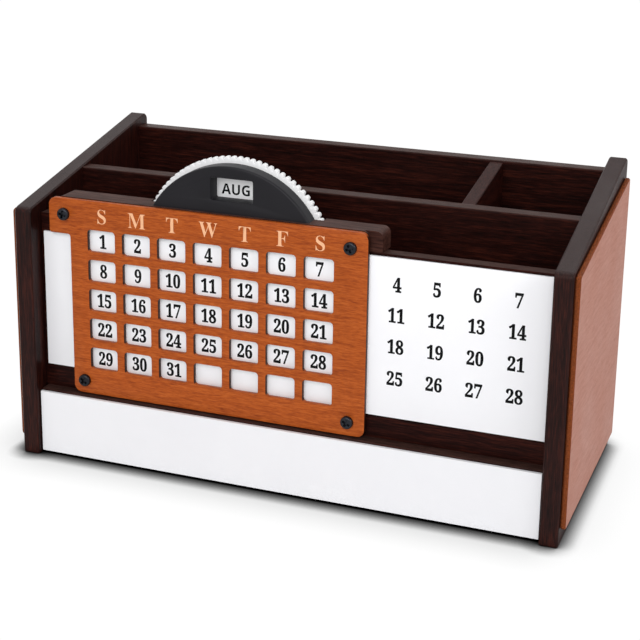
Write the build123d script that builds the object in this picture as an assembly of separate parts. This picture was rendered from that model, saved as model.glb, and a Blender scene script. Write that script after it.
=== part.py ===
from build123d import *
import math
import os

# Desk organizer with a perpetual calendar on its front and a drawer in its base.
# Millimetres. X runs along the width, Y from the front to the back, Z up.
# The origin is at the middle of the footprint, on the desk. Until a piece is finished, its
# depth is measured back from the end panels' front edges; at() then moves it to the origin.

# ---- case: driving dimensions ----
width = 250.0             # over the two dark end panels
depth = 114.0             # of the end panels
panel_t = 8.0             # end panels, back panel and middle divider
panel_over_wall = 3.5     # the end panels' front corner above the front wall
panel_rise = 23.4         # how far their top climbs towards the rear
panel_corner = 3.0        # radius of their upper corners
foot_corner = 1.0         # radius of their lower corners
ease = 0.8                # rounding along a board's upper edges
bevel = 0.6               # bevel round the end panels and facings
back_inset = 1.5          # back panel in from the end panels' rear edge
back_drop = 5.8           # back panel's top below the end panels' rear corner
divider_y = 47.4          # front face of the middle divider
divider_drop = 0.75       # its top below the end panels' sloping top
cross_x = 63.5            # left face of the short divider
cross_t = 6.5
wall_t = 6.5              # front wall, which carries the number board
floor_rise = 0.5          # compartment floor above the front wall's lower edge
floor_t = 6.0
base_low = 1.0
base_t = 3.0

# ---- facings on the outside of the end panels ----
facing_t = 2.3
facing_front = 2.4
facing_rear = 4.0
facing_low = 7.4
facing_drop_front = 1.4   # facing's upper edge below the end panel's, at the front
facing_drop_rear = 8.8    # and at the rear
facing_corner = 1.6

# ---- number board ----
board_inset = 8.0         # its face behind the end panels' front edges
board_t = 1.5
board_end_gap = 0.8       # at each end of the board
board_rise = 10.8         # its lower edge above the wall's, which leaves a dark band
board_drop = 1.1          # its upper edge below the wall's

# ---- calendar frame ----
frame_t = 2.2
frame_gap = 0.2           # between the frame and the number board
frame_margin = 16.7       # frame's left edge from the left end panel
frame_lift = 0.5          # frame's lower edge above the wall's
frame_side = 8.7          # left of the first column of windows
frame_far_side = 14.9     # right of the last column
frame_foot = 12.1         # below the lowest row
frame_head = 13.1         # above the highest row, for the weekday letters
tab_w = 10.3              # the upper left corner runs out into a tab
tab_h = 16.2
frame_corner = 3.5
tab_corner = 1.2
window_w = 13.4
window_h = 10.1
window_r = 1.5
window_corner_steps = 3   # straight steps that round each corner of a window
window_cols = 7
window_rows = 5
pitch_x = 17.04
pitch_z = 13.75

# ---- saddle that hangs the frame on the wall ----
track_gap = 0.1           # over the wall's upper edge
side_gap = 0.3            # beside the wall's faces
spacer_over = -0.6        # spacer's right end beyond the frame's; below zero, it stops short
saddle_h = 9.0
saddle_over_frame = 0.3   # saddle's top above the frame's
saddle_in = 3.1           # saddle's and spacer's left end in from the tab's
saddle_over = 5.1         # saddle's right end beyond the frame's
saddle_corner = 3.0
leg_t = 4.0               # rear leg, behind the wheel
leg_r = 38.0
leg_drop = 3.3            # its top below the saddle's
leg_lap = 12.0            # how far it laps the saddle, past the wheel's slot
strip_in = 2.0            # lower guide strip in from the frame's ends
strip_foot = 0.7
strip_gap = 1.1           # below the number board's lower edge

# ---- month wheel, cover and axle ----
wheel_in = 63.94          # wheel's centre from the frame's right edge
wheel_drop = 12.5         # wheel's centre below the wall's upper edge
wheel_r = 45.0
wheel_t = 3.0
wheel_gap = 0.3           # on either face of the wheel
slot_gap = 0.8            # between the wheel's rim and the cheeks
teeth = 96
tooth_depth = 1.5
axle_r = 2.5
axle_fit = 0.05           # radial clearance of the wheel on its axle
axle_head_r = 4.5
axle_head_t = 1.5
rim_show = 2.7            # of the wheel beyond the cover
cover_bevel = 1.0
month_inset = 10.3        # from the cover's rim in to the middle of the month names
month_ring = wheel_r - rim_show - month_inset
month_window_w = 19.4
month_window_h = 9.9
pin_r = 0.9
pin_length = 9.0
pin_offset = 30.0         # each pin from the wheel's centre line

# ---- screws through the calendar frame ----
screw_head_r = 2.8
screw_head_t = 1.8
screw_bevel = 0.9
screw_shank_r = 1.25
upper_screw_length = 6.0
lower_screw_length = 3.4
upper_screw_drop = 7.1    # below the frame's upper edge
lower_screw_rise = 6.2    # above its lower edge
tab_screw_in = 7.5
left_screw_in = 5.6
right_screw_in = 7.65

# ---- drawer ----
drawer_low = 1.4
drawer_front_h = 29.9
drawer_head_gap = 0.2     # under the front wall
drawer_end_gap = 0.6      # at each end of the drawer's front
drawer_inset = 4.0        # drawer's front board behind the end panels' front edges
drawer_front_t = 8.0
face_plate_t = 1.4
face_plate_drop = 0.8     # its upper edge below the front board's
box_end_gap = 1.5         # between the drawer's box and the end panels
box_t = 5.0
box_lift = 0.3            # over the base board
box_head_gap = 4.0        # under the compartment floor
box_rear_gap = 3.5        # before the back panel
bottom_t = 2.5
base_setback = 0.8        # base board behind the drawer's front board

# ---- places that follow, across the width ----
half = width / 2
inner = half - panel_t
frame_left = -inner + frame_margin
first_x = frame_left + frame_side + window_w / 2
frame_right = first_x + pitch_x * (window_cols - 1) + window_w / 2 + frame_far_side
tab_left = frame_left - tab_w
saddle_left = tab_left + saddle_in
saddle_right = frame_right + saddle_over
wheel_x = frame_right - wheel_in

# ---- up from the desk ----
drawer_top = drawer_low + drawer_front_h
wall_low = drawer_top + drawer_head_gap
frame_low = wall_low + frame_lift
last_z = frame_low + frame_foot + window_h / 2
first_z = last_z + pitch_z * (window_rows - 1)
frame_top = first_z + window_h / 2 + frame_head
saddle_top = frame_top + saddle_over_frame
saddle_low = saddle_top - saddle_h
leg_top = saddle_top - leg_drop
wall_top = saddle_low - track_gap
board_low = wall_low + board_rise
board_top = wall_top - board_drop
wheel_z = wall_top - wheel_drop
front_z = wall_top + panel_over_wall
rear_z = front_z + panel_rise
back_z = rear_z - back_drop
divider_z = front_z + panel_rise * divider_y / depth - divider_drop
floor_low = wall_low + floor_rise
floor_top = floor_low + floor_t
base_top = base_low + base_t
box_low = base_top + box_lift
box_top = floor_low - box_head_gap

# ---- back from the end panels' front edges ----
wall_y = board_inset + board_t
wall_rear = wall_y + wall_t
frame_rear = board_inset - frame_gap
frame_front = frame_rear - frame_t
spacer_rear = wall_y - side_gap
wheel_front = wall_rear + wheel_gap
wheel_rear = wheel_front + wheel_t
leg_front = wheel_rear + wheel_gap
leg_rear = leg_front + leg_t
divider_rear = divider_y + panel_t
back_front = depth - back_inset - panel_t
drawer_rear = drawer_inset + drawer_front_t
box_rear = back_front - box_rear_gap
pin_y = (spacer_rear + wall_rear) / 2

# ---- the screws' places in the frame, and half the width of the wheel's slot at the saddle ----
upper_screws = [(tab_left + tab_screw_in, frame_top - upper_screw_drop),
                (frame_right - right_screw_in, frame_top - upper_screw_drop)]
lower_screws = [(frame_left + left_screw_in, frame_low + lower_screw_rise),
                (frame_right - right_screw_in, frame_low + lower_screw_rise)]
slot_r = wheel_r + slot_gap
slot_reach = math.sqrt(slot_r**2 - (saddle_low - wheel_z) ** 2)
slot_mouth = math.sqrt(slot_r**2 - (saddle_top - wheel_z) ** 2)

dark = (0.20, 0.12, 0.11)
cherry = (0.72, 0.36, 0.17)
pale_wood = (0.72, 0.50, 0.42)
white = (0.94, 0.94, 0.95)
black = (0.06, 0.06, 0.07)
steel = (0.15, 0.15, 0.16)


def at(part, name, color):
    """Move a finished piece to the part's origin, and name it."""
    part = Pos(0, -depth / 2, 0) * part
    part.label = name
    part.color = Color(*color)
    return part


def block(x0, x1, y0, y1, z0, z1):
    """A board by its six faces."""
    size = Box(x1 - x0, y1 - y0, z1 - z0)
    return Pos((x0 + x1) / 2, (y0 + y1) / 2, (z0 + z1) / 2) * size


def bar(radius, length):
    """A round bar along Y that starts at y = 0 and runs back."""
    return Pos(0, length / 2, 0) * Rot(90, 0, 0) * Cylinder(radius, length)


def front_prism(points, y0, y1):
    """A board seen from the front, from its (x, z) corners."""
    face = Plane.XZ * make_face(Polyline(*points, close=True))
    return Pos(0, y1, 0) * extrude(face, amount=y1 - y0, dir=(0, -1, 0))


def side_prism(points, x0, x1):
    """A board seen from the side, from its (y, z) corners."""
    face = Plane.YZ * make_face(Polyline(*points, close=True))
    return Pos(x0, 0, 0) * extrude(face, amount=x1 - x0, dir=(1, 0, 0))


def top_edges(part, axis, top):
    """The edges along an axis at the height of a piece's top."""
    return part.edges().filter_by(axis).filter_by(lambda edge: abs(edge.center().Z - top) < 0.01)


def edge_at(part, place):
    """The edge along Y nearest to a corner of a front outline."""
    return part.edges().filter_by(Axis.Y).sort_by_distance(place)[0]


# ---- case ----


def side_slab(points, x0, x1, upper_corner, lower_corner):
    """An end panel or facing: rounded corners, and a bevel round both faces."""
    slab = side_prism(points, x0, x1)
    corners = slab.edges().filter_by(Axis.X).sort_by(Axis.Z)
    slab = fillet(corners[2:], upper_corner)
    corners = slab.edges().filter_by(Axis.X).sort_by(Axis.Z)
    slab = fillet(corners[:2], lower_corner)
    rims = slab.faces().filter_by(Axis.X).edges()
    return chamfer(rims, min(bevel, (x1 - x0) / 4))


def end_panel(side, name):
    x0, x1 = sorted((side * inner, side * half))
    points = [(0, 0), (depth, 0), (depth, rear_z), (0, front_z)]
    return at(side_slab(points, x0, x1, panel_corner, foot_corner), name, dark)


def side_facing(side, name):
    x0, x1 = sorted((side * half, side * (half + facing_t)))
    rear = depth - facing_rear
    points = [
        (facing_front, facing_low),
        (rear, facing_low),
        (rear, rear_z - facing_drop_rear),
        (facing_front, front_z - facing_drop_front),
    ]
    return at(side_slab(points, x0, x1, facing_corner, facing_corner), name, pale_wood)


def back_panel():
    board = block(-inner, inner, back_front, back_front + panel_t, 0, back_z)
    board = fillet(top_edges(board, Axis.X, back_z), ease)
    return at(board, "back_panel", dark)


def middle_divider():
    board = block(-inner, inner, divider_y, divider_rear, floor_top, divider_z)
    board = fillet(top_edges(board, Axis.X, divider_z), ease)
    return at(board, "middle_divider", dark)


def cross_divider():
    """The short divider, whose top climbs from the middle divider to the back panel."""
    points = [
        (divider_rear, floor_top),
        (back_front, floor_top),
        (back_front, back_z - ease),
        (divider_rear, divider_z - ease),
    ]
    board = side_prism(points, cross_x, cross_x + cross_t)
    ridges = board.faces().sort_by(Axis.Z)[-1].edges().filter_by(Axis.X, reverse=True)
    return at(fillet(ridges, ease), "cross_divider", dark)


def front_wall():
    board = block(-inner, inner, wall_y, wall_rear, wall_low, wall_top)
    rear_edge = top_edges(board, Axis.X, wall_top).sort_by(Axis.Y)[-1]
    return at(fillet(rear_edge, ease), "front_wall", dark)


def compartment_floor():
    board = block(-inner, inner, wall_rear, back_front, floor_low, floor_top)
    return at(board, "compartment_floor", dark)


def base_board():
    board = block(-inner, inner, drawer_rear + base_setback, back_front, base_low, base_top)
    return at(board, "base_board", dark)


def number_board():
    end = inner - board_end_gap
    board = block(-end, end, board_inset, wall_y, board_low, board_top)
    return at(board, "number_board", white)


# ---- calendar carriage ----


def window_outline():
    """A frame window's outline about its own middle, with its corners rounded in straight steps."""
    points = []
    for quarter, (side_x, side_z) in enumerate(((1, 1), (-1, 1), (-1, -1), (1, -1))):
        for step in range(window_corner_steps + 1):
            turn = math.pi / 2 * (quarter + step / window_corner_steps)
            x = side_x * (window_w / 2 - window_r) + window_r * math.cos(turn)
            z = side_z * (window_h / 2 - window_r) + window_r * math.sin(turn)
            points.append((x, z))
    return points


def calendar_frame():
    """The cherry plate: a stepped outline, rounded corners and a grid of rounded windows."""
    tab_low = frame_top - tab_h
    points = [
        (frame_left, frame_low),
        (frame_right, frame_low),
        (frame_right, frame_top),
        (tab_left, frame_top),
        (tab_left, tab_low),
        (frame_left, tab_low),
    ]
    plate = front_prism(points, frame_front, frame_rear)
    for x, z in points[:4]:
        plate = fillet(edge_at(plate, (x, frame_front, z)), frame_corner)
    for x, z in points[4:]:
        plate = fillet(edge_at(plate, (x, frame_front, z)), tab_corner)
    plate = chamfer(plate.faces().sort_by(Axis.Y)[0].edges(), ease / 2)
    cutter = front_prism(window_outline(), frame_front - frame_t, frame_rear + frame_t)
    for row in range(window_rows):
        for col in range(window_cols):
            plate -= Pos(first_x + pitch_x * col, 0, first_z - pitch_z * row) * cutter
    for x, z in upper_screws + lower_screws:
        plate -= Pos(x, frame_front, z) * bar(screw_shank_r, frame_t)
    return at(plate, "calendar_frame", cherry)


def top_spacer():
    """The strip behind the plate's top, which hangs in front of the wall's upper edge."""
    low = board_top + side_gap
    strip = block(saddle_left, frame_right + spacer_over, frame_rear, spacer_rear, low, saddle_top)
    strip = fillet(top_edges(strip, Axis.Y, saddle_top), saddle_corner)
    for x, z in upper_screws:
        strip -= Pos(x, frame_rear, z) * bar(screw_shank_r, spacer_rear - frame_rear)
    return at(strip, "top_spacer", dark)


def saddle_block():
    """The block that rides on the wall's upper edge, with holes for the cover's pins and two screws."""
    rider = block(saddle_left, saddle_right, spacer_rear, wall_rear, saddle_low, saddle_top)
    rider = fillet(top_edges(rider, Axis.Y, saddle_top), saddle_corner)
    for pin in pin_bodies():
        rider -= pin
    for x, z in upper_screws:
        rider -= Pos(x, frame_front, z) * bar(screw_shank_r, upper_screw_length)
    return at(rider, "saddle_block", dark)


def cheek(side, name):
    """The board beside the wheel, whose inner end is hollowed to the wheel's curve."""
    outer = saddle_left if side < 0 else saddle_right
    x0, x1 = sorted((outer, wheel_x + side * slot_mouth))
    board = block(x0, x1, wall_rear, leg_front, saddle_low, saddle_top)
    ends = top_edges(board, Axis.Y, saddle_top).sort_by(Axis.X)
    board = fillet(ends[0] if side < 0 else ends[-1], saddle_corner)
    board -= Pos(wheel_x, wall_rear, wheel_z) * bar(slot_r, leg_front - wall_rear)
    return at(board, name, dark)


def rear_leg():
    """The board behind the wheel: it laps both cheeks, hangs down behind the wall and holds the axle."""
    across = slot_reach + leg_lap
    yoke = block(wheel_x - across, wheel_x + across, leg_front, leg_rear, saddle_low, leg_top)
    neck = block(wheel_x - leg_r, wheel_x + leg_r, leg_front, leg_rear, wheel_z, saddle_low)
    tongue = Pos(wheel_x, leg_front, wheel_z) * bar(leg_r, leg_t)
    tongue -= block(wheel_x - leg_r, wheel_x + leg_r, 0, depth, wheel_z, wheel_z + leg_r)
    leg = yoke + neck + tongue
    leg -= Pos(wheel_x, leg_front, wheel_z) * bar(axle_r, leg_t)
    return at(leg, "rear_leg", dark)


def guide_strip():
    """The strip behind the plate's lower edge, which runs under the number board."""
    strip = block(
        frame_left + strip_in,
        frame_right - strip_in,
        frame_rear,
        wall_y - side_gap,
        frame_low + strip_foot,
        board_low - strip_gap,
    )
    for x, z in lower_screws:
        strip -= Pos(x, frame_rear, z) * bar(screw_shank_r, lower_screw_length - frame_t)
    return at(strip, "guide_strip", dark)


def month_cover():
    """The black half moon over the wheel, with a bevelled rim and a window for the month."""
    cover_r = wheel_r - rim_show
    disc = Pos(wheel_x, spacer_rear, wheel_z) * bar(cover_r, wall_rear - spacer_rear)
    below = block(wheel_x - cover_r, wheel_x + cover_r, 0, depth, wheel_z - cover_r, saddle_top)
    cap = disc - below
    rim = cap.faces().filter_by(Axis.Y).sort_by(Axis.Y)[0].edges().filter_by(GeomType.CIRCLE)
    cap = chamfer(rim, cover_bevel)
    sight = RectangleRounded(month_window_w, month_window_h, window_r)
    cutter = extrude(Plane.XZ * sight, amount=depth, both=True)
    cap -= Pos(wheel_x, 0, wheel_z + month_ring) * cutter
    for pin in pin_bodies():
        cap -= pin
    return at(cap, "month_cover", black)


def pin_bodies():
    """The two upright pins, half in the saddle and half in the cover."""
    return [
        Pos(wheel_x + side * pin_offset, pin_y, saddle_top) * Cylinder(pin_r, pin_length)
        for side in (-1, 1)
    ]


def cover_pins():
    return at(Compound(children=pin_bodies()), "cover_pins", steel)


def month_wheel():
    """The printed disc: a ring of rounded teeth to turn it by, and a bore for the axle."""
    rim = []
    for tooth in range(teeth):
        for share, height in ((0.0, 0.0), (0.28, 0.8), (0.5, 1.0), (0.72, 0.8)):
            angle = 2 * math.pi * (tooth + share) / teeth
            radius = wheel_r - tooth_depth * (1 - height)
            rim.append((radius * math.cos(angle), radius * math.sin(angle)))
    disc = front_prism(rim, 0, wheel_t) - bar(axle_r + axle_fit, wheel_t)
    return at(Pos(wheel_x, wheel_front, wheel_z) * disc, "month_wheel", white)


def dial_axle():
    """The axle: a stub through the rear leg into the wheel, with a flat head behind."""
    stub = Pos(0, wheel_front, 0) * bar(axle_r, leg_rear - wheel_front)
    head = Pos(0, leg_rear, 0) * bar(axle_head_r, axle_head_t)
    head = chamfer(head.edges().sort_by(Axis.Y)[-1], axle_head_t / 3)
    return at(Pos(wheel_x, 0, wheel_z) * (stub + head), "dial_axle", steel)


def frame_screw(place, length, name):
    """A pan-head screw through the plate."""
    x, z = place
    head = Pos(0, frame_front - screw_head_t, 0) * bar(screw_head_r, screw_head_t)
    head = chamfer(head.edges().filter_by(GeomType.CIRCLE).sort_by(Axis.Y)[0], screw_bevel)
    shank = Pos(0, frame_front, 0) * bar(screw_shank_r, length)
    return at(Pos(x, 0, z) * (head + shank), name, steel)


# ---- drawer ----


def drawer_front():
    end = inner - drawer_end_gap
    board = block(-end, end, drawer_inset, drawer_rear, drawer_low, drawer_top)
    board = fillet(top_edges(board, Axis.X, drawer_top), ease)
    return at(board, "drawer_front", dark)


def drawer_face_plate():
    end = inner - drawer_end_gap
    top = drawer_top - face_plate_drop
    board = block(-end, end, drawer_inset - face_plate_t, drawer_inset, drawer_low, top)
    return at(board, "drawer_face_plate", white)


def drawer_side(side, name):
    outer = inner - box_end_gap
    x0, x1 = sorted((side * outer, side * (outer - box_t)))
    return at(block(x0, x1, drawer_rear, box_rear, box_low, box_top), name, dark)


def drawer_back():
    end = inner - box_end_gap - box_t
    board = block(-end, end, box_rear - box_t, box_rear, box_low, box_top)
    return at(board, "drawer_back", dark)


def drawer_bottom():
    end = inner - box_end_gap - box_t
    board = block(-end, end, drawer_rear, box_rear - box_t, box_low, box_low + bottom_t)
    return at(board, "drawer_bottom", dark)


pieces = [
    end_panel(-1, "left_end_panel"),
    end_panel(1, "right_end_panel"),
    side_facing(-1, "left_side_facing"),
    side_facing(1, "right_side_facing"),
    back_panel(),
    middle_divider(),
    cross_divider(),
    front_wall(),
    compartment_floor(),
    base_board(),
    number_board(),
    calendar_frame(),
    top_spacer(),
    saddle_block(),
    cheek(-1, "left_cheek"),
    cheek(1, "right_cheek"),
    rear_leg(),
    guide_strip(),
    month_cover(),
    cover_pins(),
    month_wheel(),
    dial_axle(),
    frame_screw(upper_screws[0], upper_screw_length, "frame_screw_upper_left"),
    frame_screw(upper_screws[1], upper_screw_length, "frame_screw_upper_right"),
    frame_screw(lower_screws[0], lower_screw_length, "frame_screw_lower_left"),
    frame_screw(lower_screws[1], lower_screw_length, "frame_screw_lower_right"),
    drawer_front(),
    drawer_face_plate(),
    drawer_side(-1, "drawer_left_side"),
    drawer_side(1, "drawer_right_side"),
    drawer_back(),
    drawer_bottom(),
]

os.makedirs("parts", exist_ok=True)
for piece in pieces:
    export_step(piece, f"parts/{piece.label}.step")
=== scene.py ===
# %% [markdown]
# # A desk calendar with a drawer
# The object is a wooden desk organizer: a dark case with open compartments, a cherry calendar frame that
# slides along its front, a white month wheel under a black half-moon cover, and a drawer in the base.
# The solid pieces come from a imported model, which stays fixed. Plain boards are right as they come and
# only need a finish. The pieces that need finer shaping (the frame, the number board, the wheel, its
# cover, the screws and the printing) are modelled over them.

# %% Load the fixed model
import math

import bpy
from mathutils import Matrix, Vector


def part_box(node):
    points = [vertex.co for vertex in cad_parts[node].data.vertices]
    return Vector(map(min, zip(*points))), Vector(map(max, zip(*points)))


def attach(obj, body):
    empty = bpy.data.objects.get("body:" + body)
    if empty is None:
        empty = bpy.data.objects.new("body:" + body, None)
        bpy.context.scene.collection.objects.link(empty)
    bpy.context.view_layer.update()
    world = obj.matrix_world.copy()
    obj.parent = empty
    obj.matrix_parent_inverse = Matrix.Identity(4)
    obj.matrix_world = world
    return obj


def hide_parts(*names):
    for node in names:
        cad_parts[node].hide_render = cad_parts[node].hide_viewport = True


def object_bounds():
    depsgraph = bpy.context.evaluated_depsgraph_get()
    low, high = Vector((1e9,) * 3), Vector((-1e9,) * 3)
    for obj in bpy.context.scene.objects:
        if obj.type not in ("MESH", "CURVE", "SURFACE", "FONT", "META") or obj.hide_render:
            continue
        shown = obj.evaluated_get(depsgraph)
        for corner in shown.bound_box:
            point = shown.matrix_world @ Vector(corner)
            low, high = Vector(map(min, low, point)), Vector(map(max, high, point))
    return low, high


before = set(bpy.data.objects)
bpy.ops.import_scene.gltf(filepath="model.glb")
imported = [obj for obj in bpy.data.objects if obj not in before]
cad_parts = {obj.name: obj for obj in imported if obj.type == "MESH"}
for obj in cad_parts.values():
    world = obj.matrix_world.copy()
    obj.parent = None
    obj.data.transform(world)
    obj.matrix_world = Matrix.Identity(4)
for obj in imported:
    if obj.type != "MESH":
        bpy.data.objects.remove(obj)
cad_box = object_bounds()
MM = 0.001
print("case box in mm:", [round(v / MM, 1) for v in (*cad_box[0], *cad_box[1])])

# %% [markdown]
# ## Where things are
# A piece that is printed on a board or turns on an axle has to follow that board or axle. Its place could
# be typed in as numbers, but then it would stay behind when the model changes. So every place below is
# read from the model's own nodes. The front faces look towards -Y.

# %% Read the places of the pieces that carry others
board_low, board_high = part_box("number_board")
plate_low, plate_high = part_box("calendar_frame")
wheel_low, wheel_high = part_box("month_wheel")
cover_low, cover_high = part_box("month_cover")
wheel_centre = Vector(((wheel_low.x + wheel_high.x) / 2, wheel_low.y, (wheel_low.z + wheel_high.z) / 2))
wheel_radius = (wheel_high.x - wheel_low.x) / 2

COLUMNS, ROWS = 7, 5
COLUMN_PITCH = 17.04 * MM
ROW_PITCH = 13.75 * MM
WINDOW = Vector((13.4, 10.1)) * MM
RIGHT_MARGIN = 14.9 * MM
HEAD_MARGIN = 13.1 * MM
first_window = Vector((plate_high.x - RIGHT_MARGIN - WINDOW.x / 2 - COLUMN_PITCH * (COLUMNS - 1), plate_low.y,
                       plate_high.z - HEAD_MARGIN - WINDOW.y / 2))
print("first window's middle in mm:", [round(v / MM, 2) for v in first_window])

# %% [markdown]
# ## The camera
# The photograph was taken from the right and a little above with a long lens, and its uprights were
# straightened, which in Blender is a small vertical shift. The camera could be aimed with a constraint, but
# three plain turns say more: it tips down by the elevation, turns about Z by the azimuth, and a slight
# roll completes it.

# %% Set the camera
CAMERA_PLACE = Vector((225.7, -606.9, 289.3)) * MM
CAMERA_AZIMUTH = math.radians(20.53)
CAMERA_ELEVATION = math.radians(15.57)
CAMERA_ROLL = math.radians(0.85)
FOCAL_PIXELS = 1493.0
PHOTO_PIXELS = 640
SENSOR_MM = 36.0
UPRIGHT_SHIFT = -0.15
NEAREST_SEEN = 10 * MM

bpy.ops.object.camera_add(location=CAMERA_PLACE)
camera = bpy.context.object
camera.data.sensor_width = SENSOR_MM
camera.data.lens = SENSOR_MM * FOCAL_PIXELS / PHOTO_PIXELS
camera.data.shift_y = UPRIGHT_SHIFT
camera.data.clip_start = NEAREST_SEEN
turn = Matrix.Rotation(CAMERA_AZIMUTH, 4, "Z") @ Matrix.Rotation(math.pi / 2 - CAMERA_ELEVATION, 4, "X")
camera.matrix_world = Matrix.Translation(CAMERA_PLACE) @ turn @ Matrix.Rotation(CAMERA_ROLL, 4, "Z")
bpy.context.scene.camera = camera
print("lens in mm:", round(camera.data.lens, 1))

# %% [markdown]
# ## Building materials from nodes
# A finish here is a small tree of nodes. By hand they are dragged together in the shader editor; in a
# script a few helpers keep the cells short. Each gives back the socket that the next node needs, so a tree
# reads from the inside out, like a sum.

# %% Helpers for single nodes
def give(tree, socket, value):
    """Link an input to another node's socket, or set it to a plain value."""
    if isinstance(value, bpy.types.NodeSocket):
        tree.links.new(value, socket)
    elif socket.type == "RGBA" and len(value) == 3:
        socket.default_value = (*value, 1.0)
    else:
        socket.default_value = value


def add_node(tree, kind, **sockets):
    """Add a node and fill its inputs by name."""
    node = tree.nodes.new(kind)
    for name, value in sockets.items():
        give(tree, node.inputs[name.replace("_", " ")], value)
    return node


def calculate(tree, operation, first, second=0.0, clamp=False):
    """A Math node's result, from two numbers or sockets."""
    node = tree.nodes.new("ShaderNodeMath")
    node.operation = operation
    node.use_clamp = clamp
    give(tree, node.inputs[0], first)
    give(tree, node.inputs[1], second)
    return node.outputs[0]


def remap(tree, value, low, high, to_low=0.0, to_high=1.0):
    """Stretch the range from low to high over the range from to_low to to_high."""
    node = add_node(tree, "ShaderNodeMapRange", From_Min=low, From_Max=high, To_Min=to_low, To_Max=to_high)
    give(tree, node.inputs[0], value)
    return node.outputs[0]


def blend_colors(tree, mask, low, high):
    """Mix two colours by a mask; a colour may be a socket or an (r, g, b)."""
    node = tree.nodes.new("ShaderNodeMix")
    node.data_type = "RGBA"
    for number, value in ((0, mask), (6, low), (7, high)):
        give(tree, node.inputs[number], value)
    return node.outputs[2]


print("node helpers ready")

# %% [markdown]
# ## Node groups
# Grain and smudges are wanted in many materials. Each could be built anew every time, but a node group is
# built once, has named inputs and outputs, and takes its own values wherever it is placed.

# %% Helpers for node groups
def start_group(name, inputs, outputs):
    """A shader node group with its sockets; returns it with its two end nodes."""
    group = bpy.data.node_groups.new(name, "ShaderNodeTree")
    for label, kind, value in inputs:
        socket = group.interface.new_socket(label, in_out="INPUT", socket_type=f"NodeSocket{kind}")
        if value is not None:
            socket.default_value = value
    for label, kind in outputs:
        group.interface.new_socket(label, in_out="OUTPUT", socket_type=f"NodeSocket{kind}")
    return group, group.nodes.new("NodeGroupInput"), group.nodes.new("NodeGroupOutput")


def use_group(tree, group, **sockets):
    """Place a node group in a tree and fill its inputs by name."""
    node = tree.nodes.new("ShaderNodeGroup")
    node.node_tree = group
    for name, value in sockets.items():
        give(tree, node.inputs[name.replace("_", " ")], value)
    return node


print("group helpers ready")

# %% [markdown]
# ## Wood grain, once for every board
# Real grain is long and thin, because it follows the trunk. It could come from a picture of wood; noise that
# has been stretched along the board needs no picture and never repeats. Three layers make it read as wood:
# a slow figure of lighter and darker bands, fine fibres, and the short dark dashes of the pores. The group
# expects its grain to run along X, and a board whose grain runs another way turns the coordinates first.

# %% The wood grain group
FIBRES_PER_BAND = 5.0
FIGURE_RANGE = (0.3, 0.7)
PORE_RANGE = (0.60, 0.70)
FIBRE_RELIEF = 0.5


def build_wood_grain():
    group, given, made = start_group(
        "wood grain",
        [("Vector", "Vector", None), ("Figure Scale", "Float", 60.0), ("Stretch", "Float", 0.12),
         ("Pore Scale", "Float", 900.0)],
        [("Figure", "Float"), ("Fibre", "Float"), ("Pores", "Float"), ("Height", "Float")],
    )
    parts = add_node(group, "ShaderNodeSeparateXYZ", Vector=given.outputs["Vector"])
    along = calculate(group, "MULTIPLY", parts.outputs[0], given.outputs["Stretch"])
    stretched = add_node(group, "ShaderNodeCombineXYZ", X=along, Y=parts.outputs[1], Z=parts.outputs[2])
    coords = stretched.outputs[0]
    wave = add_node(group, "ShaderNodeTexNoise", Vector=coords, Scale=given.outputs["Figure Scale"],
                    Detail=4.0, Roughness=0.55, Distortion=0.9)
    fibre_scale = calculate(group, "MULTIPLY", given.outputs["Figure Scale"], FIBRES_PER_BAND)
    fibre = add_node(group, "ShaderNodeTexNoise", Vector=coords, Scale=fibre_scale, Detail=2.0)
    pores = add_node(group, "ShaderNodeTexNoise", Vector=coords, Scale=given.outputs["Pore Scale"],
                     Detail=1.0, Distortion=0.3)
    dashes = remap(group, pores.outputs[0], *PORE_RANGE)
    raised = calculate(group, "MULTIPLY", fibre.outputs[0], FIBRE_RELIEF)
    give(group, made.inputs["Figure"], remap(group, wave.outputs[0], *FIGURE_RANGE))
    give(group, made.inputs["Fibre"], fibre.outputs[0])
    give(group, made.inputs["Pores"], dashes)
    give(group, made.inputs["Height"], calculate(group, "SUBTRACT", raised, dashes))
    return group


wood_grain = build_wood_grain()
print("wood grain sockets:", [s.name for s in wood_grain.interface.items_tree])

# %% [markdown]
# ## Marks of handling
# Nothing on a desk stays perfectly even. Soft smudges change how sharply a surface shines, and a few fine
# specks of dust sit on it. They could be painted on by hand; noise at two scales does it for every piece
# at once. The group gives a smudge mask, a speck mask and a very fine height.

# %% The handling marks group
SMUDGE_RANGE = (0.35, 0.7)
SPECK_SCALE = 420.0
SPECK_RANGE = (0.09, 0.04)


def build_handling_marks():
    group, given, made = start_group(
        "handling marks",
        [("Vector", "Vector", None), ("Smudge Scale", "Float", 30.0), ("Texture Scale", "Float", 1800.0)],
        [("Smudges", "Float"), ("Specks", "Float"), ("Height", "Float")],
    )
    coords = given.outputs["Vector"]
    smudge = add_node(group, "ShaderNodeTexNoise", Vector=coords, Scale=given.outputs["Smudge Scale"],
                      Detail=5.0, Roughness=0.6)
    speck = add_node(group, "ShaderNodeTexVoronoi", Vector=coords, Scale=SPECK_SCALE)
    fine = add_node(group, "ShaderNodeTexNoise", Vector=coords, Scale=given.outputs["Texture Scale"],
                    Detail=2.0)
    give(group, made.inputs["Smudges"], remap(group, smudge.outputs[0], *SMUDGE_RANGE))
    give(group, made.inputs["Specks"], remap(group, speck.outputs["Distance"], *SPECK_RANGE))
    give(group, made.inputs["Height"], fine.outputs[0])
    return group


handling_marks = build_handling_marks()
print("handling marks sockets:", [s.name for s in handling_marks.interface.items_tree])

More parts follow.
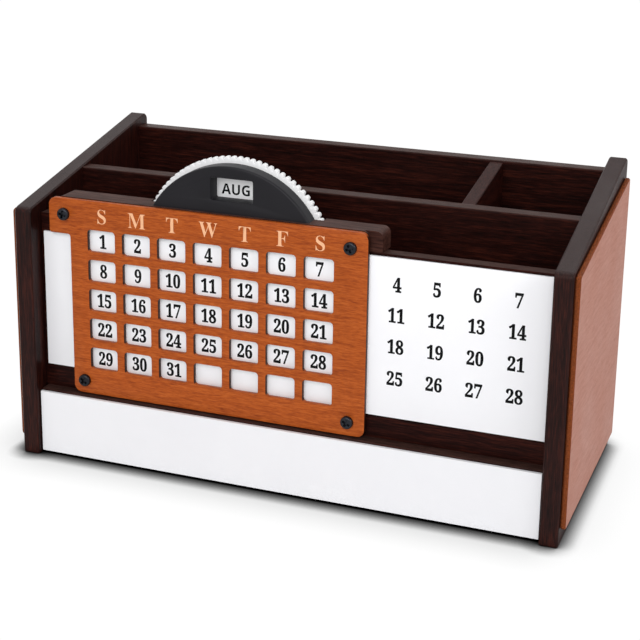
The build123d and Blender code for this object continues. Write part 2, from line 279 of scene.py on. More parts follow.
# %% [markdown]
# ## Starting a material
# Every finish ends in a Principled BSDF, the one shader that does wood, plastic and metal alike. Values that
# are the same all over the surface are set on its sockets directly, and only what changes over the surface
# comes through nodes. Colours were judged on a screen, so they are written as screen values and turned into
# the linear ones that nodes calculate with.

# %% Helpers for materials
def start_material(name, roughness, **principled):
    """A material with its Principled BSDF ready; returns the material, its tree and that node."""
    material = bpy.data.materials.new(name)
    material.use_nodes = True
    tree = material.node_tree
    surface = tree.nodes["Principled BSDF"]
    surface.inputs["Roughness"].default_value = roughness
    for socket, value in principled.items():
        surface.inputs[socket.replace("_", " ")].default_value = value
    return material, tree, surface


def bump(tree, surface, height, strength, distance):
    """Drive the surface's normal from a height that changes over it."""
    node = add_node(tree, "ShaderNodeBump", Strength=strength, Distance=distance, Height=height)
    give(tree, surface.inputs["Normal"], node.outputs[0])


def linear(*rgb):
    """An (r, g, b) of 0 to 255 as seen on a screen, as the linear values that nodes take."""
    return tuple(((c / 255 + 0.055) / 1.055) ** 2.4 if c > 10 else c / 255 / 12.92 for c in rgb)


print("mid grey on a screen is", round(linear(128)[0], 3), "of the light")

# %% [markdown]
# ## How wood is finished
# A board shows its grain on its faces and a different, duller wood on its cut edges. Edges could be separate
# pieces with a material of their own. Here one function reads the direction in which a face points, and
# brings in the edge's colour where the face turns towards a chosen axis. That colour also carries painted
# light: a lighter, sheen-like top on the dark woods, and painted shade on the cherry's walls that face away
# from the light.

# %% A function for wooden finishes
STREAK_RANGE = (0.2, 0.8)
FIGURE_SHARE, STREAK_SHARE = 0.4, 0.6
PORES_PER_BAND = 7.0
TONE_PLACES = (0.15, 0.5, 0.9)
EDGE_SHADE, EDGE_LIGHT = 0.2, 1.7
TOP_FACE_RANGE = (0.8, 0.5)
WOOD_POLISH, WOOD_DULL = -0.05, 0.1
WOOD_BUMP, WOOD_BUMP_DEPTH = 0.25, 0.15 * MM
GRAIN_TURNS = {"X": (0.0, 0.0, 0.0), "Y": (0.0, 0.0, math.pi / 2), "Z": (0.0, math.pi / 2, 0.0)}


def wood_tone(tree, factor, colors):
    """A Color Ramp from the dark over the middle to the light wood."""
    node = tree.nodes.new("ShaderNodeValToRGB")
    steps = node.color_ramp.elements
    while len(steps) < len(colors):
        steps.new(0.5)
    for step, place, color in zip(steps, TONE_PLACES, colors):
        step.position = place
        step.color = (*color, 1.0)
    give(tree, node.inputs[0], factor)
    return node.outputs[0]


def wood_finish(name, colors, grain_axis, figure_scale, stretch, pores, roughness, edge, edge_axis=2,
                edge_range=(0.55, 0.8), edge_amount=1.0, spare_lit_tops=False, gloss=0.05):
    """Wood with its grain along an axis; the edge colour shows on faces that point along edge_axis, and it
    carries painted light: a lighter top on the dark woods, shade on the cherry.
    """
    material, tree, surface = start_material(name, roughness, Specular_IOR_Level=gloss)
    place = add_node(tree, "ShaderNodeTexCoord").outputs["Object"]
    along = add_node(tree, "ShaderNodeMapping", Vector=place, Rotation=GRAIN_TURNS[grain_axis])
    grain = use_group(tree, wood_grain, Vector=along.outputs[0], Figure_Scale=figure_scale, Stretch=stretch,
                      Pore_Scale=figure_scale * PORES_PER_BAND)
    streaks = remap(tree, grain.outputs["Fibre"], *STREAK_RANGE)
    dashes = calculate(tree, "MULTIPLY", grain.outputs["Pores"], pores)
    tone = calculate(tree, "ADD", calculate(tree, "MULTIPLY", grain.outputs["Figure"], FIGURE_SHARE),
                     calculate(tree, "MULTIPLY", streaks, STREAK_SHARE), clamp=True)
    face = blend_colors(tree, dashes, wood_tone(tree, tone, colors), colors[0])

    # The edge colour picked here is partly the cut edge's own tone and partly painted light: a lighter,
    # sheen-like grey on the dark woods' faces turned up or down, and painted shade on the cherry's walls.
    normal = add_node(tree, "ShaderNodeNewGeometry").outputs["True Normal"]
    turned = add_node(tree, "ShaderNodeSeparateXYZ", Vector=normal)
    mask = remap(tree, calculate(tree, "ABSOLUTE", turned.outputs[edge_axis]), *edge_range)
    mask = calculate(tree, "MULTIPLY", mask, edge_amount)
    # Faces turned up keep the face colour, as lit ones do. The dark edge colour, scorch with painted shade,
    # then lies only on walls that face down and sideways.
    if spare_lit_tops:
        mask = calculate(tree, "MULTIPLY", mask, remap(tree, turned.outputs[2], *TOP_FACE_RANGE))
    end = blend_colors(tree, streaks, tuple(c * EDGE_SHADE for c in edge), tuple(c * EDGE_LIGHT for c in edge))
    end = blend_colors(tree, dashes, end, colors[0])
    give(tree, surface.inputs["Base Color"], blend_colors(tree, mask, face, end))

    smudges = use_group(tree, handling_marks, Vector=place).outputs["Smudges"]
    satin = remap(tree, smudges, 0.0, 1.0, roughness + WOOD_POLISH, roughness + WOOD_DULL)
    give(tree, surface.inputs["Roughness"], satin)
    bump(tree, surface, grain.outputs["Height"], WOOD_BUMP, WOOD_BUMP_DEPTH)
    return material


print("wood is toned in", len(TONE_PLACES), "steps")

# %% [markdown]
# ## The woods of this object
# The case is board covered with a dark, reddish wenge veneer under a thin satin varnish: almost black in
# the shade, warm brown where the figure is light, and greyer on every face turned up or down, which is
# partly the cut edges' own tone and partly painted top light and sheen. The saddle that carries the
# calendar is the same wood with less varnish. The calendar frame is orange-brown cherry whose laser-cut
# window walls are scorched dark, with painted shade on the walls that face down and sideways, while faces
# turned up keep the cherry colour as lit ones. The side facings are a paler, pinkish wood with a warm rim.
# They differ only in colours, direction and scale, so one function makes them all.

# %% Wooden finishes
WENGE = (linear(10, 3, 2), linear(35, 12, 9), linear(64, 27, 19))
wenge_grain = dict(figure_scale=520.0, stretch=0.06, pores=0.6, roughness=0.42)
# The edge colours of the dark woods land on every face turned up or down; they are partly the cut edge's greyer
# tone and partly painted top light and sheen.
wenge_along = wood_finish("wenge veneer, grain along", WENGE, "X", **wenge_grain,
                          edge=linear(66, 45, 40), edge_amount=0.85)
wenge_upright = wood_finish("wenge veneer, upright grain", WENGE, "Z", **wenge_grain,
                            edge=linear(56, 44, 43), edge_amount=0.8, gloss=0.12)
wenge_across = wood_finish("wenge veneer, grain front to back", WENGE, "Y", **wenge_grain,
                           edge=linear(57, 34, 31), edge_amount=0.8)
# The saddle's edge colour, too, is cut-edge tone with painted top light and sheen on faces turned up.
saddle_wood = wood_finish("bare saddle wood", (linear(30, 15, 12), linear(62, 36, 30), linear(92, 60, 51)),
                          "X", figure_scale=340.0, stretch=0.06, pores=0.6, roughness=0.5,
                          edge=linear(76, 55, 50), edge_amount=0.8)
# The cherry's dark edge colour is laser scorch with painted shade: it darkens the window walls that face down
# and sideways, and faces turned up keep the cherry colour as lit ones.
cherry = wood_finish("cherry plate", (linear(128, 50, 12), linear(170, 80, 25), linear(192, 99, 40)), "X",
                     figure_scale=760.0, stretch=0.09, pores=0.5, roughness=0.38, edge=linear(36, 15, 8),
                     edge_axis=1, edge_range=(0.75, 0.35), spare_lit_tops=True, gloss=0.15)
side_veneer = wood_finish("pale side facing",
                          (linear(170, 113, 96), linear(184, 130, 114), linear(194, 142, 126)), "Y",
                          figure_scale=620.0, stretch=0.08, pores=0.3, roughness=0.5,
                          edge=linear(120, 60, 28), edge_axis=0, edge_range=(0.92, 0.8))
print("wooden finishes:", [m.name for m in (wenge_along, wenge_upright, wenge_across, saddle_wood, cherry,
                                            side_veneer)])

# %% [markdown]
# ## White boards, plastics, metal and ink
# The number board and the drawer's face are hard white laminate with a soft gloss. The wheel is moulded
# white plastic, a little matter. The cover is charcoal plastic with a fine spark-eroded texture, the screws
# are blackened steel, and the printing is flat ink. A single flat colour would look like a drawing, so each
# drifts a little towards a second tint where the surface is smudged or dusty.

# %% Hard finishes
SMUDGE_TINT, SPECK_TINT = 0.5, 0.25
HARD_POLISH, HARD_DULL = -0.04, 0.08
HARD_BUMP = 0.2


def smooth_finish(name, color, tint, roughness, texture_scale, texture_depth, **principled):
    """A plain coloured finish with smudges in its gloss and a fine texture in its surface."""
    material, tree, surface = start_material(name, roughness, **principled)
    place = add_node(tree, "ShaderNodeTexCoord").outputs["Object"]
    marks = use_group(tree, handling_marks, Vector=place, Texture_Scale=texture_scale)
    shade = calculate(tree, "ADD", calculate(tree, "MULTIPLY", marks.outputs["Smudges"], SMUDGE_TINT),
                      calculate(tree, "MULTIPLY", marks.outputs["Specks"], SPECK_TINT), clamp=True)
    give(tree, surface.inputs["Base Color"], blend_colors(tree, shade, color, tint))
    gloss = remap(tree, marks.outputs["Smudges"], 0.0, 1.0, roughness + HARD_POLISH, roughness + HARD_DULL)
    give(tree, surface.inputs["Roughness"], gloss)
    bump(tree, surface, marks.outputs["Height"], HARD_BUMP, texture_depth)
    return material


laminate = dict(roughness=0.32, texture_scale=900.0, texture_depth=0.04 * MM)
white_laminate = smooth_finish("white laminate", (0.92, 0.92, 0.945), (0.885, 0.885, 0.915), **laminate)
# The drawer's face is the same white laminate made a little darker, as painted shade.
shaded_white_laminate = smooth_finish("white laminate with painted shade", (0.86, 0.86, 0.885), (0.825, 0.825, 0.855), **laminate)
white_plastic = smooth_finish("white moulded plastic", (0.88, 0.88, 0.89), (0.80, 0.80, 0.81),
                              roughness=0.45, texture_scale=1500.0, texture_depth=0.05 * MM)
charcoal = smooth_finish("charcoal plastic", linear(22, 21, 25), linear(28, 27, 32), roughness=0.42,
                         texture_scale=2600.0, texture_depth=0.06 * MM, Specular_IOR_Level=0.18)
black_steel = smooth_finish("blackened steel", linear(28, 29, 34), linear(48, 51, 60), roughness=0.26,
                            texture_scale=1400.0, texture_depth=0.03 * MM, Metallic=0.7)
ink = dict(texture_scale=1200.0, texture_depth=0.02 * MM)
black_ink = smooth_finish("black ink", linear(5, 5, 6), linear(12, 12, 13), roughness=0.6, **ink,
                          Specular_IOR_Level=0.1)
peach_ink = smooth_finish("peach ink", linear(243, 186, 142), linear(228, 166, 120), roughness=0.5, **ink)
print("finishes made:", len(bpy.data.materials))

# %% [markdown]
# ## Dress the solid pieces
# A joiner lays each board's veneer with the grain along its longer side. The pieces are listed by finish, so
# that one loop dresses them all and a forgotten piece shows in the count.

# %% Give each fixed node its finish
finish_of = {
    wenge_along: ["back_panel", "middle_divider", "front_wall", "compartment_floor", "base_board", "rear_leg",
                  "guide_strip", "drawer_front", "drawer_back", "drawer_bottom"],
    saddle_wood: ["top_spacer", "saddle_block", "left_cheek", "right_cheek"],
    wenge_upright: ["left_end_panel", "right_end_panel"],
    wenge_across: ["cross_divider", "drawer_left_side", "drawer_right_side"],
    side_veneer: ["left_side_facing", "right_side_facing"],
    cherry: ["calendar_frame"],
    white_laminate: ["number_board"],
    shaded_white_laminate: ["drawer_face_plate"],
    white_plastic: ["month_wheel"],
    charcoal: ["month_cover"],
    black_steel: ["dial_axle", "cover_pins", "frame_screw_upper_left", "frame_screw_upper_right",
                  "frame_screw_lower_left", "frame_screw_lower_right"],
}
for material, nodes in finish_of.items():
    for name in nodes:
        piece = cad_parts[name]
        piece.data.materials.clear()
        piece.data.materials.append(material)
print("dressed nodes:", sum(len(nodes) for nodes in finish_of.values()), "of", len(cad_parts))

# %% [markdown]
# ## Working on one piece at a time
# Blender's operators act on whatever is selected or active, just as when working by hand. The solid pieces
# are still selected after loading, so each helper first picks exactly the pieces it means. A finished piece
# keeps its object at the origin and its place in its mesh, as the solid pieces do.

# %% Helpers for single pieces
def pick(*pieces):
    """Select just these pieces and make the first one active."""
    bpy.ops.object.select_all(action="DESELECT")
    for piece in pieces:
        piece.select_set(True)
    bpy.context.view_layer.objects.active = pieces[0]


def begin(add, name, **settings):
    """Run a primitive operator with nothing else selected, and name what it made."""
    bpy.ops.object.select_all(action="DESELECT")
    add(**settings)
    made = bpy.context.object
    made.name = name
    return made


def settle(piece):
    """Leave the object at the origin, with its place in its mesh."""
    pick(piece)
    bpy.ops.object.transform_apply(location=True, rotation=True, scale=True)
    return piece


def add_disc(name, centre, radius, reach, sides):
    """A cylinder primitive whose front face is at centre and which runs back by reach."""
    return settle(begin(bpy.ops.mesh.primitive_cylinder_add, name, vertices=sides, radius=radius, depth=reach,
                        rotation=(math.pi / 2, 0, 0), location=Vector(centre) + Vector((0, reach / 2, 0))))


def apply_modifier(piece, kind, **settings):
    """Add a modifier and apply it at once."""
    pick(piece)
    modifier = piece.modifiers.new(kind.lower(), kind)
    for name, value in settings.items():
        setattr(modifier, name, value)
    bpy.ops.object.modifier_apply(modifier=modifier.name)


def ease_edges(piece, width, degrees):
    """Round every edge that turns by more than an angle."""
    apply_modifier(piece, "BEVEL", width=width, segments=2, limit_method="ANGLE",
                   angle_limit=math.radians(degrees))


def smooth(piece, degrees):
    """Shade smoothly across edges that turn by less than an angle."""
    pick(piece)
    bpy.ops.object.shade_smooth_by_angle(angle=math.radians(degrees))


def dress(piece, material, body):
    """Give a modelled piece its finish, and let it ride on its body."""
    piece.data.materials.clear()
    piece.data.materials.append(material)
    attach(piece, body)


print("helpers for single pieces ready")

# %% [markdown]
# ## The month wheel
# The wheel is a thin moulded disc with a ring of small rounded teeth to turn it by. One tooth could be
# modelled and arrayed around a circle, which leaves seams. Instead the disc starts as a cylinder with four
# corners to each tooth; in edit mode every first corner is drawn in, which makes the teeth in one piece,
# and a bevel rounds them as a mould does.

# %% Model the month wheel
TEETH = 96
TOOTH_DEPTH = 1.5 * MM
TOOTH_ROUNDING = 0.35 * MM
CORNERS = 4
VALLEY_SHARE = 0.1

wheel = add_disc("month_disc", wheel_centre, wheel_radius, wheel_high.y - wheel_low.y, TEETH * CORNERS)
bpy.ops.object.mode_set(mode="EDIT")
bpy.ops.mesh.select_all(action="DESELECT")
bpy.ops.object.mode_set(mode="OBJECT")
for vertex in wheel.data.vertices:
    tooth = math.atan2(vertex.co.z - wheel_centre.z, vertex.co.x - wheel_centre.x) / math.tau * TEETH % 1.0
    vertex.select = min(tooth, 1 - tooth) < VALLEY_SHARE
bpy.ops.object.mode_set(mode="EDIT")
bpy.context.scene.tool_settings.use_proportional_edit = False
shrink = 1 - TOOTH_DEPTH / wheel_radius
bpy.ops.transform.resize(value=(shrink, 1, shrink), center_override=wheel_centre)
bpy.ops.object.mode_set(mode="OBJECT")
ease_edges(wheel, TOOTH_ROUNDING, 50)
smooth(wheel, 50)
dress(wheel, white_plastic, "month_dial")
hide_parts("month_wheel")
print("wheel:", len(wheel.data.polygons), "faces")

# %% [markdown]
# ## Cutting boards
# Boards are sawn square, rounded at some corners and cut through. A cube stretched between two corners is
# the board, chosen edges are bevelled in edit mode, and holes come from a Boolean with a cutter that is
# then thrown away. The same three steps make the frame, the number board, the cover and the screws.

# %% Helpers for boards and cuts
NEAR = 0.05 * MM
PAST = 5.0 * MM
ALONG_Y = 0.9


def add_box(name, low, high):
    """A cube primitive stretched between two corners."""
    low, high = Vector(low), Vector(high)
    made = begin(bpy.ops.mesh.primitive_cube_add, name, size=1, location=(low + high) / 2)
    made.scale = high - low
    return settle(made)


def bevel_edges(piece, reach, segments, chosen):
    """Bevel the edges whose two ends chosen() accepts, in edit mode."""
    pick(piece)
    bpy.ops.object.mode_set(mode="EDIT")
    bpy.ops.mesh.select_mode(type="EDGE")
    bpy.ops.mesh.select_all(action="DESELECT")
    bpy.ops.object.mode_set(mode="OBJECT")
    mesh = piece.data
    for edge in mesh.edges:
        edge.select = chosen(*(mesh.vertices[k].co for k in edge.vertices))
    bpy.ops.object.mode_set(mode="EDIT")
    bpy.ops.mesh.bevel(offset=reach, segments=segments, profile=0.5, affect="EDGES")
    bpy.ops.object.mode_set(mode="OBJECT")


def front_to_back(one, two):
    """Whether an edge runs straight back."""
    return abs(two.y - one.y) > ALONG_Y * (two - one).length


def cut_away(piece, cutter, how="DIFFERENCE"):
    """Apply a Boolean with a cutter, which is then thrown away."""
    apply_modifier(piece, "BOOLEAN", operation=how, solver="EXACT", object=cutter)
    bpy.data.objects.remove(cutter)


print("helpers for boards ready")

# %% [markdown]
# ## The calendar frame's outline
# The cherry plate is one board with a tab at its upper left, which widens it towards the end panel. It
# could be drawn as a curve and extruded; a box with its lower left cut away keeps every size readable.
# The outer corners are rounded wide and the tab's lower one just a little.

# %% Cut the frame's outline
PLATE_CORNER = 3.5 * MM
TAB_CORNER = 1.2 * MM
TAB_WIDTH = 10.3 * MM
TAB_HEIGHT = 16.2 * MM

plate = add_box("cherry_plate", plate_low, plate_high)
step = Vector((plate_low.x + TAB_WIDTH, plate_high.y + PAST, plate_high.z - TAB_HEIGHT))
cut_away(plate, add_box("below the tab", plate_low - Vector((PAST, PAST, PAST)), step))
bevel_edges(plate, TAB_CORNER, 4, lambda one, two: front_to_back(one, two) and abs(one.z - step.z) < NEAR)
bevel_edges(plate, PLATE_CORNER, 8, lambda one, two: front_to_back(one, two)
            and min(abs(one.z - plate_low.z), abs(one.z - plate_high.z)) < NEAR)
print("outline:", len(plate.data.vertices), "corners")

# %% [markdown]
# ## The frame's windows
# Seven days by five weeks look out through rounded windows. One window's cutter is repeated across and
# down by two Array modifiers, so that a single Boolean takes the whole grid from the plate, and a small
# bevel eases the edges the way sanding does.

# %% Cut the frame's windows
WINDOW_CORNER = 1.5 * MM
PLATE_EASE = 0.25 * MM

half = Vector((WINDOW.x / 2, PAST, WINDOW.y / 2))
opening = add_box("window cutter", first_window - half, first_window + half)
bevel_edges(opening, WINDOW_CORNER, 6, front_to_back)
for count, offset in ((COLUMNS, (COLUMN_PITCH, 0, 0)), (ROWS, (0, 0, -ROW_PITCH))):
    apply_modifier(opening, "ARRAY", count=count, use_relative_offset=False, use_constant_offset=True,
                   constant_offset_displace=offset)
cut_away(plate, opening)
ease_edges(plate, PLATE_EASE, 60)
smooth(plate, 25)
dress(plate, cherry, "calendar_carriage")
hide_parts("calendar_frame")
print("calendar frame:", len(plate.data.polygons), "faces")

# %% [markdown]
# ## The number board
# The white board lies on the front wall between the end panels. Its upper left corner is cut away, so that
# nothing white shows beside the frame's tab, and its left end stops a little short of the panel. A
# Boolean with one box does it, and the sharp laminate edge is eased by a hair.

# %% Model the number board
BOARD_EASE = 0.2 * MM
BOARD_LEFT_GAP = 1.0 * MM
CORNER_UNDER_TAB = 0.7 * MM
CORNER_BEHIND_TAB = 6.0 * MM

board = add_box("white_number_board", board_low + Vector((BOARD_LEFT_GAP, 0, 0)), board_high)
corner_low = Vector((board_low.x - PAST, board_low.y - PAST, step.z - CORNER_UNDER_TAB))
corner_high = Vector((plate_low.x + CORNER_BEHIND_TAB, board_high.y + PAST, board_high.z + PAST))
cut_away(board, add_box("corner cutter", corner_low, corner_high))
ease_edges(board, BOARD_EASE, 60)
smooth(board, 25)
dress(board, white_laminate, "case")
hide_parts("number_board")
print("number board:", len(board.data.polygons), "faces")

# %% [markdown]
# ## The half-moon cover
# The cover is a thick black disc cut along a chord, so that it stands on the frame's top edge. It could be
# spun from a profile, but then its flat would need closing. Here the disc's rim is rounded before the cut,
# which keeps the flat sharp, and the window is cut last.

# %% Cut the half moon
COVER_SIDES = 192
COVER_ROUNDING = 1.0 * MM

cover_radius = cover_high.z - wheel_centre.z
cover_front = Vector((wheel_centre.x, cover_low.y, wheel_centre.z))
cover = add_disc("half_moon_cover", cover_front, cover_radius, cover_high.y - cover_low.y + PAST, COVER_SIDES)
bevel_edges(cover, COVER_ROUNDING, 5, lambda one, two: max(one.y, two.y) < cover_low.y + NEAR)
cut_away(cover, add_box("half moon", cover_low - Vector((PAST, PAST, 0)), cover_high + Vector((PAST, 0, PAST))),
         "INTERSECT")
print("half moon:", len(cover.data.polygons), "faces")

# %% [markdown]
# ## The cover's window
# The window shows one month of the wheel behind it. A rounded box cuts it, and the edges it leaves on
# the front face get a fine bevel, which catches a thin line of light.

# %% Cut the month window
MONTH_WINDOW = Vector((19.5, 9.9)) * MM
MONTH_WINDOW_PLACE = Vector((1.1, 0.0, 32.0)) * MM
MONTH_WINDOW_CORNER = 0.8 * MM
MONTH_WINDOW_BEVEL = 0.35 * MM

sight_middle = cover_front + MONTH_WINDOW_PLACE
half = Vector((MONTH_WINDOW.x / 2, 2 * PAST, MONTH_WINDOW.y / 2))
sight = add_box("month window cutter", sight_middle - half, sight_middle + half)
bevel_edges(sight, MONTH_WINDOW_CORNER, 4, front_to_back)
cut_away(cover, sight)
bevel_edges(cover, MONTH_WINDOW_BEVEL, 2, lambda one, two: all(
    corner.y < cover_low.y + NEAR and abs(corner.x - sight_middle.x) < half.x + NEAR
    and abs(corner.z - sight_middle.z) < half.z + NEAR for corner in (one, two)))
smooth(cover, 30)
dress(cover, charcoal, "calendar_carriage")
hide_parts("month_cover")
print("cover:", len(cover.data.polygons), "faces")

# %% [markdown]
# ## One screw
# Four cross-head screws hold the frame. Their threads are hidden in the wood, so only the head is worked
# out: a rounded disc with two crossed slots cut into it. A plain shank runs into the wood behind it, and
# both are joined into one piece whose head's face is at the origin, ready to be copied.

# %% Model one screw
HEAD_ROUNDING = 0.8 * MM
SLOT = Vector((3.6, 2.6, 1.1)) * MM
SHANK_RADIUS = 1.25 * MM
HEAD_SIDES, SHANK_SIDES = 48, 24


def join(pieces, name):
    """Make one object of several."""
    pick(*pieces)
    bpy.ops.object.join()
    pieces[0].name = name
    return pieces[0]


low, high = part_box("frame_screw_upper_left")
head_radius = (high.x - low.x) / 2
head_front = Vector(((low.x + high.x) / 2, low.y, (low.z + high.z) / 2))
screw = add_disc("screw", head_front, head_radius, plate_low.y - low.y, HEAD_SIDES)
bevel_edges(screw, HEAD_ROUNDING, 5, lambda one, two: max(one.y, two.y) < low.y + NEAR)
for quarter in (0, 1):
    slot = add_box("slot", -SLOT / 2, SLOT / 2)
    slot.data.transform(Matrix.Translation(head_front) @ Matrix.Rotation(quarter * math.pi / 2, 4, "Y"))
    cut_away(screw, slot)
shank = add_disc("shank", (head_front.x, plate_low.y, head_front.z), SHANK_RADIUS, high.y - plate_low.y,
                 SHANK_SIDES)
screw = join([screw, shank], "screw")
smooth(screw, 40)
screw.data.transform(Matrix.Translation(-head_front))
print("screw:", len(screw.data.polygons), "faces")

# %% [markdown]
# ## Four screws from one
# Copies save work and keep the four alike. Each has its own mesh and is turned as a hand would leave it,
# because four slots in step would look printed.

# %% Copy the screw to its places
screw_turns = {"frame_screw_upper_left": 12, "frame_screw_upper_right": 70, "frame_screw_lower_left": 38,
               "frame_screw_lower_right": 27}
for name, degrees in screw_turns.items():
    low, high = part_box(name)
    place = Vector(((low.x + high.x) / 2, low.y, (low.z + high.z) / 2))
    copy = bpy.data.objects.new(name.replace("frame_screw", "screw"), screw.data.copy())
    bpy.context.collection.objects.link(copy)
    copy.data.transform(Matrix.Translation(place) @ Matrix.Rotation(math.radians(degrees), 4, "Y"))
    dress(copy, black_steel, "calendar_carriage")
    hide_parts(name)
bpy.data.objects.remove(screw)
print("screws placed:", len(screw_turns))

# %% [markdown]
# ## Printing
# The figures are a bold, narrow book face; the weekday letters match it, and the months are a plain bold
# face. Printing could be a picture on the surface, but a picture blurs close up. Text is typed, turned
# into a mesh, narrowed, and stood up against the surface it is printed on, a few hundredths of a
# millimetre proud as ink is. The three faces are all in Blender's own font, as its mathematical letters.

# %% A helper for printed words
SERIF_DIGITS = {str(d): chr(0x1D7CE + d) for d in range(10)}
SERIF_LETTERS = {chr(65 + k): chr(0x1D400 + k) for k in range(26)}
SANS_LETTERS = {chr(65 + k): chr(0x1D5D4 + k) for k in range(26)}
INK_THICKNESS = 0.03 * MM
CURVE_STEPS = 6


def print_word(word, face, height, narrowing, centre, weight):
    """One printed word, its middle at centre, its face towards the front."""
    text = begin(bpy.ops.object.text_add, "word")
    text.data.body = "".join(face[letter] for letter in word)
    text.data.resolution_u = CURVE_STEPS
    text.data.offset = weight
    bpy.ops.object.convert(target="MESH")
    inked = bpy.context.object
    corners = [v.co for v in inked.data.vertices]
    wide = [min(c.x for c in corners), max(c.x for c in corners)]
    tall = [min(c.y for c in corners), max(c.y for c in corners)]
    size = height / (tall[1] - tall[0])
    middle = Vector((sum(wide) / 2, sum(tall) / 2, 0))
    stand = Matrix.Rotation(math.pi / 2, 4, "X")
    scale = Matrix.Diagonal((size * narrowing, size, 1, 1))
    inked.data.transform(Matrix.Translation(centre) @ stand @ scale @ Matrix.Translation(-middle))
    return inked


print("serif digits:", "".join(SERIF_DIGITS.values()))

# %% [markdown]
# ## Numbers on the white board
# The board carries the days in columns a calendar pitch apart. Seven columns show through the frame's
# windows, and as the frame slides to the right it covers the next ones, so the month can start on any
# weekday. The rows to the right of the frame were printed a little lower than those behind it, and they
# have their own heights here.

# %% Print the numbers
TOP_ROW = (1, 2, 3, 4, 5, 6, 7, 3, 4, 5, 6, 7)
HIDDEN_COLUMN = 7
DAYS_IN_WEEK, LONGEST_MONTH = 7, 31
FROM_WINDOW = Vector((-0.4, -0.5)) * MM
RIGHT_ROWS_Z = (101.1, 87.8, 74.1, 60.0)
DIGIT_HEIGHT = 6.45 * MM
DIGIT_NARROWING = 0.78
DIGIT_WEIGHT = 0.018

ink_y = board_low.y - INK_THICKNESS
numbers = []
for column, first_day in enumerate(TOP_ROW):
    beside_frame = column > HIDDEN_COLUMN
    for row in range(len(RIGHT_ROWS_Z) if beside_frame else ROWS):
        day = first_day + DAYS_IN_WEEK * row
        if day > LONGEST_MONTH:
            continue
        x = first_window.x + COLUMN_PITCH * column + FROM_WINDOW.x
        z = RIGHT_ROWS_Z[row] * MM if beside_frame else first_window.z - ROW_PITCH * row + FROM_WINDOW.y
        numbers.append(print_word(str(day), SERIF_DIGITS, DIGIT_HEIGHT, DIGIT_NARROWING,
                                  Vector((x, ink_y, z)), DIGIT_WEIGHT))
count = len(numbers)
board_numbers = join(numbers, "printed_numbers")
dress(board_numbers, black_ink, "case")
print("numbers printed:", count, "with", len(board_numbers.data.polygons), "faces")

# %% [markdown]
# ## Weekday letters on the frame
# A pale letter heads each column of windows. On the real frame they are printed or inlaid; as ink they
# need no cut in the plate. They take their places from the same column pitch as the windows.

# %% Print the weekday letters
WEEKDAYS = "SMTWTFS"
LETTER_HEIGHT = 6.6 * MM
LETTER_NARROWING = 0.95
LETTER_WEIGHT = -0.005
LETTERS_BELOW_TOP = 6.6 * MM
LETTERS_RIGHT = 0.6 * MM

plate_ink_y = plate_low.y - INK_THICKNESS
letters = []
for column, letter in enumerate(WEEKDAYS):
    x = first_window.x + COLUMN_PITCH * column + LETTERS_RIGHT
    centre = Vector((x, plate_ink_y, plate_high.z - LETTERS_BELOW_TOP))
    letters.append(print_word(letter, SERIF_LETTERS, LETTER_HEIGHT, LETTER_NARROWING, centre, LETTER_WEIGHT))
weekday_letters = join(letters, "weekday_letters")
dress(weekday_letters, peach_ink, "calendar_carriage")
print("weekday letters:", len(weekday_letters.data.polygons), "faces")

# %% [markdown]
# ## Months round the wheel
# Twelve months stand round the wheel, a twelfth of a turn from one to the next. Each is printed upright at
# the top of a ring about the origin, turned to its hour, and then moved to the wheel, so that it stands
# upright again when it reaches the cover's window.

# %% Print the months
MONTHS = ("AUG", "SEP", "OCT", "NOV", "DEC", "JAN", "FEB", "MAR", "APR", "MAY", "JUN", "JUL")
MONTH_RING = 30.7 * MM
MONTH_HEIGHT = 4.7 * MM
MONTH_NARROWING = 0.98
MONTH_WEIGHT = 0.0

wheel_ink = Vector((wheel_centre.x, wheel_low.y - INK_THICKNESS, wheel_centre.z))
month_words = []
for hour, month in enumerate(MONTHS):
    word = print_word(month, SANS_LETTERS, MONTH_HEIGHT, MONTH_NARROWING, Vector((0, 0, MONTH_RING)),
                      MONTH_WEIGHT)
    turned = Matrix.Rotation(math.tau * hour / len(MONTHS), 4, "Y")
    word.data.transform(Matrix.Translation(wheel_ink) @ turned)
    month_words.append(word)
month_print = join(month_words, "month_names")
dress(month_print, black_ink, "month_dial")
print("months printed:", len(MONTHS))

# %% [markdown]
# ## The floor
# A plain pale floor runs out to the back. A real white studio floor needs so much light that the object
# would burn out, so the floor only shows itself as white, to the camera and in reflections, and lights the
# object as a plain pale surface. The white is darkened near the object by two Ambient Occlusion nodes, a
# short, deep one for the contact and a wide, faint one for the soft shade. It is weaker at the right end,
# where the light in the photograph comes in under the edge.

# %% Floor with a contact shadow
def seen_directly(tree):
    """1 for rays from the camera, off a gloss or through glass, and 0 for rays that light things."""
    path = tree.nodes.new("ShaderNodeLightPath")
    seen = calculate(tree, "MAXIMUM", path.outputs["Is Camera Ray"], path.outputs["Is Glossy Ray"])
    return calculate(tree, "MAXIMUM", seen, path.outputs["Is Transmission Ray"])


FLOOR_SIZE = 8.0
FLOOR_GREY = 0.80
NEAR_REACH, NEAR_DEPTH = 9.0 * MM, 4.0
WIDE_REACH, WIDE_DEPTH = 30.0 * MM, 0.6
LIT_SIDE_SHARE = 0.3
LIT_FROM, LIT_TO = cad_box[1][0] - 12 * MM, cad_box[1][0] + 4 * MM
SHOWN_WHITE = 1.02

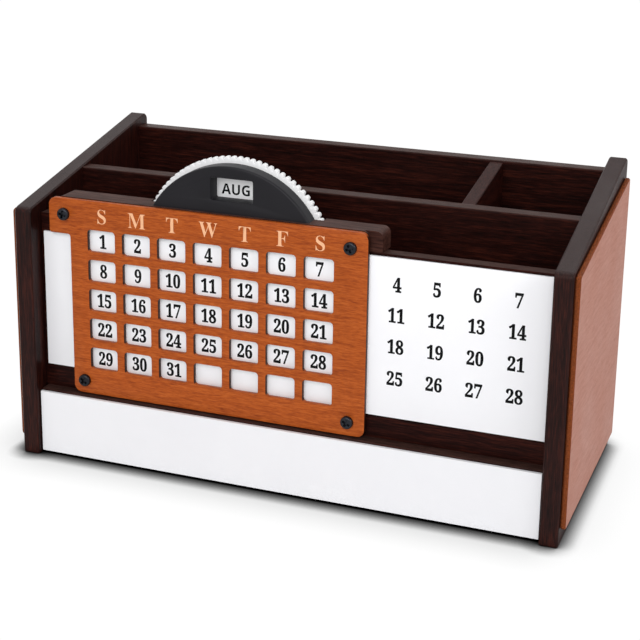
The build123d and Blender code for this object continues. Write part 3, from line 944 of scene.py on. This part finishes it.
floor = settle(begin(bpy.ops.mesh.primitive_plane_add, "floor", size=FLOOR_SIZE,
                     location=(0, 0, cad_box[0][2])))
floor_material, floor_tree, floor_surface = start_material("pale floor", 0.9, Specular_IOR_Level=0.0)
floor_surface.inputs["Base Color"].default_value = (FLOOR_GREY, FLOOR_GREY, FLOOR_GREY, 1)
spot = add_node(floor_tree, "ShaderNodeTexCoord").outputs["Object"]
across = add_node(floor_tree, "ShaderNodeSeparateXYZ", Vector=spot).outputs[0]
share = remap(floor_tree, across, LIT_FROM, LIT_TO, 1.0, LIT_SIDE_SHARE)
white = SHOWN_WHITE
for reach, depth in ((NEAR_REACH, NEAR_DEPTH), (WIDE_REACH, WIDE_DEPTH)):
    openness = add_node(floor_tree, "ShaderNodeAmbientOcclusion", Distance=reach).outputs["AO"]
    shade = calculate(floor_tree, "POWER", openness, calculate(floor_tree, "MULTIPLY", share, depth))
    white = calculate(floor_tree, "MULTIPLY", shade, white)
glow = add_node(floor_tree, "ShaderNodeEmission", Color=(1, 1, 1), Strength=white)
chosen = floor_tree.nodes.new("ShaderNodeMixShader")
for number, source in enumerate((seen_directly(floor_tree), floor_surface.outputs[0], glow.outputs[0])):
    give(floor_tree, chosen.inputs[number], source)
give(floor_tree, floor_tree.nodes["Material Output"].inputs[0], chosen.outputs[0])
floor.data.materials.append(floor_material)
print("floor:", FLOOR_SIZE, "m wide")

# %% [markdown]
# ## The light
# Small lamps throw hard shadows, so the lamps are large squares, as a studio's soft boxes are. The key
# lamp stands in front, a weaker one to the right, and one hangs behind for the top edges. The sky fills
# the rest evenly, and shows itself as white in the same way as the floor. Colours then render about as
# they are written.

# %% Lamps and sky
def soft_lamp(name, place, size, watts):
    """A square area lamp at a place, turned towards the object."""
    bpy.ops.object.light_add(type="AREA", location=place)
    lamp = bpy.context.object
    lamp.name = name
    lamp.data.size = size
    lamp.data.energy = watts
    lamp.rotation_euler = (LIT_POINT - Vector(place)).to_track_quat("-Z", "Y").to_euler()


LIT_POINT = Vector((0.0, 0.0, 0.07))
SKY_LIGHT = 0.38
soft_lamp("key lamp", (0.1, -1.8, 1.1), size=1.4, watts=23.5)
soft_lamp("side lamp", (1.6, -0.4, 0.9), size=1.0, watts=10.0)
soft_lamp("top lamp", (-0.2, 0.5, 1.7), size=1.4, watts=7.0)

world = bpy.data.worlds.new("studio sky")
bpy.context.scene.world = world
world.use_nodes = True
sky = world.node_tree
sky.nodes["Background"].inputs[0].default_value = (1, 1, 1, 1)
give(sky, sky.nodes["Background"].inputs[1], remap(sky, seen_directly(sky), 0.0, 1.0, SKY_LIGHT, 1.0))
bpy.context.scene.view_settings.view_transform = "Standard"
